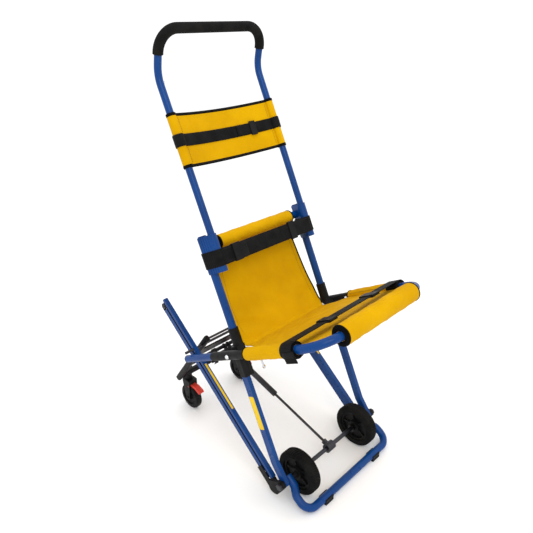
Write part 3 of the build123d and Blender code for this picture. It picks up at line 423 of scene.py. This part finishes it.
def smooth_line(points, count):
    """Evenly stepped Catmull-Rom line through (a, b) points."""
    p = np.array([points[0]] + list(points) + [points[-1]], float)
    p[0] = 2 * p[1] - p[2]
    p[-1] = 2 * p[-2] - p[-3]
    dense = []
    for i in range(1, len(p) - 2):
        for t in np.linspace(0, 1, 24, endpoint=False):
            a, b, c, d = p[i - 1:i + 3]
            dense.append(0.5 * (2 * b + (c - a) * t + (2 * a - 5 * b + 4 * c - d) * t * t
                                + (3 * b - a - 3 * c + d) * t ** 3))
    dense.append(p[-2])
    dense = np.array(dense)
    run = np.concatenate([[0], np.cumsum(np.hypot(*np.diff(dense, axis=0).T))])
    at = np.linspace(0, run[-1], count)
    return np.stack([np.interp(at, run, dense[:, 0]), np.interp(at, run, dense[:, 1])], 1)


# ---------------------------------------------------------------- hammock of the back and seat
SLING = [(752.0, -25.2), (690.0, -29.5), (620.0, -31.5), (550.0, -29.0), (490.0, -18.0), (441.0, -4.0)]
SLING_HALF = [(441.0, 184.0), (500.0, 186.0), (560.0, 182.5), (640.0, 175.0), (752.0, 161.0)]
PANEL = [(15.0, 178.0), (62.0, 187.0), (86.0, 226.0), (298.0, 226.0), (330.0, 174.0), (362.0, 162.0)]
CLOTH_T = 2.4
BACK_ROWS = 46
stations = []              # point of the middle line, half width, u or s, and whether it is on the seat
for u, n in smooth_line(SLING, BACK_ROWS):
    stations.append((on_back(0, u, n), float(np.interp(u, *zip(*SLING_HALF))), u, False))
FOLD_FROM, FOLD_TO = on_back(0, 441, -4), on_seat(0, 15, 0)
FOLD_BOTTOM = on_back(0, 427, 1)
for t in np.linspace(0, 1, 9)[1:-1]:
    p = FOLD_FROM * (1 - t) ** 2 + FOLD_BOTTOM * (2 * t * (1 - t)) + FOLD_TO * t ** 2
    stations.append((p, 184.0 - 6.0 * t, 15.0 * t, True))
for s in np.linspace(15, 362, 56):
    stations.append((on_seat(0, s, 0), float(np.interp(s, *zip(*PANEL))), s, True))
COLUMNS = 61
grid = []
for centre, half, where, on_the_seat in stations:
    row = []
    for a in np.linspace(-1, 1, COLUMNS):
        p = centre + ACROSS * (a * half * MM)
        if on_the_seat:
            belly = 7.0 * (1 - a * a) * sin(pi * min(1.0, where / 362.0))
            folds = 1.3 * sin(11 * a + where / 23.0) * exp(-((where - 30) / 42.0) ** 2)
            near = exp(-((a + 0.85) / 0.28) ** 2 - ((where - 55) / 60) ** 2)
            corner = 1.5 * sin((1 + a) * 17 + where / 14.0) * near
            row.append(p + SEAT_UP * ((folds + corner - belly) * MM))
        else:
            rise = (where - 441.0) / 311.0
            slack = 3.0 * (1 - a * a) * sin(pi * rise)
            folds = 0.9 * sin(9 * a + where / 31.0) * exp(-((where - 470) / 40.0) ** 2)
            left = exp(-((a + 0.7) / 0.35) ** 2 - ((where - 490) / 45.0) ** 2)
            right = exp(-((a - 0.75) / 0.3) ** 2 - ((where - 520) / 70.0) ** 2)
            pull = 2.2 * sin(where / 9.0 + 7 * a) * left
            pull += 1.4 * sin(where / 12.0 - 6 * a) * right
            edge = min(1.0, (1 - abs(a)) / 0.08)
            row.append(p + BACK_FRONT * ((folds + pull * edge - slack) * MM))
    grid.append(row)
rows = len(grid)
normals = []
for i in range(rows):
    for j in range(COLUMNS):
        down = grid[min(i + 1, rows - 1)][j] - grid[max(i - 1, 0)][j]
        right = grid[i][min(j + 1, COLUMNS - 1)] - grid[i][max(j - 1, 0)]
        normals.append(down.cross(right).normalized())
flat_points = [p for row in grid for p in row]
verts = [p + n * (CLOTH_T * MM / 2) for p, n in zip(flat_points, normals)]
verts += [p - n * (CLOTH_T * MM / 2) for p, n in zip(flat_points, normals)]
shift = rows * COLUMNS
faces = []
for i in range(rows - 1):
    for j in range(COLUMNS - 1):
        a = i * COLUMNS + j
        quad = (a, a + COLUMNS, a + COLUMNS + 1, a + 1)
        faces.append(quad)
        faces.append(tuple(k + shift for k in reversed(quad)))
border = [j for j in range(COLUMNS)] + [i * COLUMNS + COLUMNS - 1 for i in range(1, rows)]
border += [(rows - 1) * COLUMNS + j for j in range(COLUMNS - 2, -1, -1)]
border += [i * COLUMNS for i in range(rows - 2, 0, -1)]
for a, b in zip(border, border[1:] + border[:1]):
    faces.append((a, b, b + shift, a + shift))
hammock = piece("hammock_cloth", verts, faces, "back_cloth")
hammock.data.materials.append(M["seat_cloth"])
first_seat_row = BACK_ROWS + 3
for face in hammock.data.polygons:
    if min(face.vertices) % shift // COLUMNS >= first_seat_row:
        face.material_index = 1
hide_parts("back_sling", "seat_panel")
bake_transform(hammock)

for tag, j in (("left", 0), ("right", COLUMNS - 1)):
    edge = [row[j] for row in grid[2:44]]
    cord_tube(f"sling_piping_{tag}", edge, 3.2, "binding", "root")
    inward = 1 if j == 0 else -1
    line = [row[j + 3 * inward] + BACK_FRONT * (CLOTH_T / 2 * MM) for row in grid[4:42]]
    stitches(f"sling_stitches_{tag}", line, BACK_FRONT, "root")

# ---------------------------------------------------------------- rolls and sleeves
ROLL_U, ROLL_HALF, ROLL_R = 757.0, 158.0, 23.0
roll = cloth_roll("back_roll_cloth", on_back(-ROLL_HALF, ROLL_U), ACROSS, 2 * ROLL_HALF, ROLL_R, 13.0,
                  "roll_cloth", "root", 0.4)
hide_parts("back_roll")
FRONT_S, FRONT_X, FRONT_R = 389.0, (-172.0, 160.0), 30.0
front = cloth_roll("front_roll_cloth", on_seat(FRONT_X[0], FRONT_S), ACROSS, FRONT_X[1] - FRONT_X[0],
                   FRONT_R, 14.4, "roll_cloth", "seat", 1.7, swell=1.1)
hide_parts("front_roll")
RAIL_X, SIDE_S, SIDE_R = 244.0, (83.0, 300.0), 20.5
for tag, side, seed in (("left", -1, 2.3), ("right", 1, 3.9)):
    sleeve = cloth_roll(f"side_sleeve_{tag}", on_seat(side * RAIL_X, SIDE_S[0]), SEAT_FWD,
                        SIDE_S[1] - SIDE_S[0], SIDE_R, 13.2, "seat_cloth", "seat", seed,
                        slant=(0.0, -5.0), turn=SEAT_UP)
    if side < 0:
        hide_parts("side_sleeves")
    seam = [on_seat(side * (RAIL_X - 17), s, 11.5) for s in np.linspace(92, 292, 50)]
    stitches(f"sleeve_stitches_{tag}", seam, (SEAT_UP - ACROSS * side * 0.9).normalized(), "seat")

# ---------------------------------------------------------------- headrest
HANDLE_X, HANDLE_N, REST_U, SAG = 195.0, 35.0, (986.0, 1146.0), 24.0
HEM_R = 14.2
ARC_END = HANDLE_X - 11.0
ARC_R = (ARC_END ** 2 + SAG ** 2) / (2 * SAG)


def head_arc(u, offset, x_from=-ARC_END, x_to=ARC_END, count=49):
    points = []
    for x in np.linspace(x_from, x_to, count):
        n = HANDLE_N - SAG + ARC_R - (ARC_R ** 2 - x * x) ** 0.5
        points.append(on_back(x, u, n + offset))
    return points


def loop_round(x, u, n, radius, count=40):
    return [
        on_back(x + radius * cos(2 * pi * k / count), u, n + radius * sin(2 * pi * k / count))
        for k in range(count)
    ]


middle_u = sum(REST_U) / 2
REST_CLOTH = REST_U[1] - REST_U[0] - 16.0   # height between the two bindings
head = band("headrest_cloth", head_arc(middle_u, 0), BACK_UP, REST_CLOTH, 2.6, "back_cloth", "handle")
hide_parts("headrest_sling")
for tag, side in (("left", -1), ("right", 1)):
    band(f"headrest_hem_{tag}", loop_round(side * HANDLE_X, middle_u, HANDLE_N, HEM_R - 1.4), BACK_UP,
         REST_CLOTH, 2.4, "back_cloth", "handle", True)
    rows_x = side * (ARC_END - 10)
    n = HANDLE_N - SAG + ARC_R - (ARC_R ** 2 - rows_x ** 2) ** 0.5
    for part, low, high in (("low", REST_U[0] + 12, 1045), ("high", 1087, REST_U[1] - 12)):
        seam = [on_back(rows_x, u, n + 1.5) for u in np.linspace(low, high, 16)]
        stitches(f"headrest_seam_{tag}_{part}", seam, BACK_FRONT, "handle")
for tag, u in (("bottom", REST_U[0] + 4.5), ("top", REST_U[1] - 4.5)):
    band(f"headrest_binding_{tag}", head_arc(u, 0), BACK_UP, 9, 4.0, "binding", "handle")
    for side_tag, side in (("left", -1), ("right", 1)):
        band(f"headrest_binding_{tag}_{side_tag}",
             loop_round(side * HANDLE_X, u, HANDLE_N, HEM_R - 1.0), BACK_UP, 9, 3.2, "binding",
             "handle", True)
    stitches(f"headrest_stitches_{tag}", head_arc(u, 2.1), BACK_FRONT, "handle")

HEAD_U, HEAD_W = 1066.0, 36.0
strap = band("head_strap_web", head_arc(HEAD_U, 3.2), BACK_UP, HEAD_W, 2.2, "back_web", "handle")
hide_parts("head_strap")
band("head_strap_overlap", head_arc(HEAD_U, 5.1, 40, 172, 20), BACK_UP, HEAD_W - 3, 1.8, "back_web", "handle")
for tag, side in (("left", -1), ("right", 1)):
    band(f"head_strap_loop_{tag}", loop_round(side * HANDLE_X, HEAD_U, HANDLE_N, HEM_R + 1.7), BACK_UP,
         HEAD_W, 2.0, "back_web", "handle", True)

# ---------------------------------------------------------------- chest strap
TUBE_X, CHEST_U, CHEST_W = 205.0, 715.0, 50.0
MAIN_R, SMALL_R, STRAP_T = 16.0, 14.5, 2.2
SPAN_N = HANDLE_N + SMALL_R + 0.6 + STRAP_T / 2


def clamp_loop(side, grow):
    """Outline round the clamp's two tubes: their circles and the two outer tangents."""
    a, b = np.array([TUBE_X, 0.0]), np.array([HANDLE_X, HANDLE_N])
    r_a, r_b = MAIN_R + grow, SMALL_R + grow
    gap = b - a
    facing = atan2(gap[1], gap[0])
    lean = (pi / 2) - np.arcsin((r_b - r_a) / hypot(*gap))
    outline = [a + r_a * np.array([cos(t), sin(t)])
               for t in np.linspace(facing + lean, facing + 2 * pi - lean, 22)]
    outline += [b + r_b * np.array([cos(t), sin(t)]) for t in np.linspace(facing - lean, facing + lean, 18)]
    return [on_back(side * x, CHEST_U, n) for x, n in outline]


chest = band("chest_strap_web", [on_back(x, CHEST_U, SPAN_N) for x in np.linspace(-HANDLE_X, HANDLE_X, 60)],
             BACK_UP, CHEST_W, STRAP_T, "back_web", "root")
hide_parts("chest_strap")
for tag, side in (("left", -1), ("right", 1)):
    band(f"chest_strap_loop_{tag}", clamp_loop(side, 0.6 + STRAP_T / 2), BACK_UP, CHEST_W, STRAP_T,
         "back_web", "root", True)
    for k, u in enumerate((CHEST_U - 19, CHEST_U + 19)):
        row = [on_back(side * x, u, SPAN_N + STRAP_T / 2) for x in np.linspace(150, 185, 12)]
        stitches(f"chest_stitches_{tag}_{k}", row, BACK_FRONT, "root", 3.6, 2.4)

# ---------------------------------------------------------------- lap strap
LAP_S, LAP_W, LAP_H = (275.0, 276.0), 45.0, SIDE_R + 0.6
lap = band("lap_strap_web",
           [on_seat(x, LAP_S[0] + (x + RAIL_X) / (2 * RAIL_X) * (LAP_S[1] - LAP_S[0]), LAP_H + 1.2)
            for x in np.linspace(-RAIL_X, RAIL_X, 70)],
           SEAT_FWD, LAP_W - 1, 2.2, "seat_web", "seat")
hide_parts("lap_strap")
for tag, side, s in (("left", -1, LAP_S[0]), ("right", 1, LAP_S[1])):
    r = LAP_H + 1.2
    ring = [on_seat(side * RAIL_X + r * cos(2 * pi * k / 44), s, r * sin(2 * pi * k / 44)) for k in range(44)]
    band(f"lap_strap_loop_{tag}", ring, SEAT_FWD, LAP_W, 2.2, "seat_web", "seat", True)
tail = [on_seat(-RAIL_X - LAP_H - 1.2 - 0.6 * sin(k / 3.0), LAP_S[0] + 8 + 0.25 * k, 4 - 2.0 * k)
        for k in range(17)]
band("lap_strap_tail", tail, SEAT_FWD, LAP_W - 1, 2.2, "seat_web", "seat")

# ---------------------------------------------------------------- plain yellow marks in place of lettering
def mark(name, centre, along, across, out, length, width, body):
    """Thin plate with clipped corners, laid on a painted face."""
    a, b, c = length * MM / 2, width * MM / 2, min(length, width) * MM * 0.12
    outline = [(-a + c, -b), (a - c, -b), (a, -b + c), (a, b - c)]
    outline += [(a - c, b), (-a + c, b), (-a, b - c), (-a, -b + c)]
    rings = [
        [centre + along * x + across * y + out * (lift * MM) for x, y in outline] for lift in (0.02, 0.35)
    ]
    verts, faces = strip(rings)
    return piece(name, verts, faces, "yellow_mark", body, False)


mark("leg_mark_left", on_back(-223.0, 229.5), BACK_UP, BACK_FRONT, -ACROSS, 109, 22, "root")
mark("leg_mark_right", on_back(223.0, 229.5), BACK_UP, BACK_FRONT, ACROSS, 109, 22, "root")
for tag, side in (("left", -1), ("right", 1)):
    mark(f"track_mark_{tag}", on_track(side * 216.5, 360, -35), TRACK_UP, ACROSS, TRACK_TOP, 170, 7, "tracks")

# ---------------------------------------------------------------- floor, light and camera
floor_mesh = bpy.data.meshes.new("floor")
FLOOR = 9.0
floor_mesh.from_pydata([(-FLOOR, -FLOOR, 0), (FLOOR, -FLOOR, 0), (FLOOR, FLOOR, 0), (-FLOOR, FLOOR, 0)], [],
                       [(0, 1, 2, 3)])
floor = bpy.data.objects.new("floor", floor_mesh)
bpy.context.scene.collection.objects.link(floor)
floor_look = Shader("pale_floor", 0.6)
floor_look.colours(floor_look.noise(2, 3), (0.955, 0.955, 0.955), (0.965, 0.965, 0.965))
floor_mesh.materials.append(floor_look.bumps((floor_look.noise(80, 3), 0.03, 0.0005)))

world = bpy.data.worlds.new("studio")
bpy.context.scene.world = world
world.use_nodes = True
world.node_tree.nodes["Background"].inputs["Color"].default_value = (1, 1, 1, 1)
world.node_tree.nodes["Background"].inputs["Strength"].default_value = 1.1


def area_light(name, place, target, size, power):
    data = bpy.data.lights.new(name, "AREA")
    data.shape = "SQUARE"
    data.size = size
    data.energy = power
    obj = bpy.data.objects.new(name, data)
    obj.location = place
    obj.rotation_euler = (Vector(target) - Vector(place)).to_track_quat("-Z", "Y").to_euler()
    bpy.context.scene.collection.objects.link(obj)


area_light("key", (-1.4, -2.2, 2.9), (0, 0, 0.5), 1.8, 30)
area_light("fill", (2.6, -1.2, 2.0), (0, 0, 0.5), 2.4, 8)
area_light("top", (0.2, 0.6, 3.2), (0, 0, 0.4), 2.6, 14)

bpy.context.scene.view_settings.view_transform = "Standard"
YAW, PITCH, ROLL = radians(-44.5), radians(-24.0), radians(-1.6)
forward = Vector((-sin(YAW) * cos(PITCH), cos(YAW) * cos(PITCH), sin(PITCH)))
right = forward.cross(Vector((0, 0, 1))).normalized()
up = right.cross(forward)
tilted_right = right * cos(ROLL) + up * sin(ROLL)
tilted_up = -right * sin(ROLL) + up * cos(ROLL)
lens = bpy.data.cameras.new("camera")
lens.sensor_width = 36.0
lens.lens = 36.03
camera = bpy.data.objects.new("camera", lens)
turn = Matrix((tilted_right, tilted_up, -forward)).transposed().to_4x4()
camera.matrix_world = Matrix.Translation((-1.1023, -1.0692, 1.3491)) @ turn
bpy.context.scene.collection.objects.link(camera)
bpy.context.scene.camera = camera
